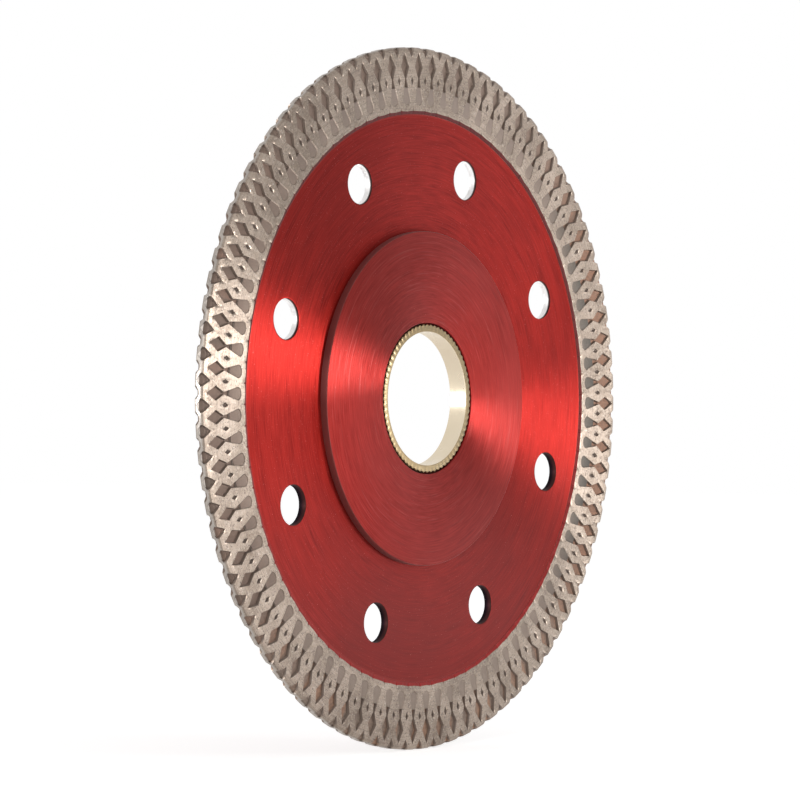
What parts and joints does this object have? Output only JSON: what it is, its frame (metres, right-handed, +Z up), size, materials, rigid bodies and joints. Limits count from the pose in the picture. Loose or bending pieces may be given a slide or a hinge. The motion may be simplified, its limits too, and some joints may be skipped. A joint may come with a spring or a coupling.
{
  "type": "diamond blade",
  "caption": "Thin round diamond saw blade for tile and stone: mesh-pattern sintered rim on a lacquered steel core, with vent holes, hub plates and a knurled brass reducing bush.",
  "frame": {"origin": "centre of the arbor bore, at the middle of the core's thickness", "axes": "+Z up with the blade on edge, +Y along the spin axis towards the back face, +X to the right as seen from the front"},
  "size_m": [0.105, 0.0038, 0.105],
  "materials": {
    "core_lacquer": "translucent red lacquer over circular grinding marks",
    "plate_lacquer": "hazy red lacquer, lightly scuffed",
    "rim_sinter": "ground sintered metal with diamond grit, rough brown pocket floors",
    "bush_brass": "turned, straight knurl outside"
  },
  "bodies": {
    "blade": {"steel_core": "core_lacquer", "diamond_rim": "rim_sinter", "front_hub_plate": "plate_lacquer", "rear_hub_plate": "plate_lacquer"},
    "bush": {"reducing_bush": "bush_brass"}
  },
  "joints": [
    {"name": "bush_slide", "type": "slide", "parent": "blade", "child": "bush", "axis": [0, -1, 0], "range_m": [0, 0.012]}
  ]
}
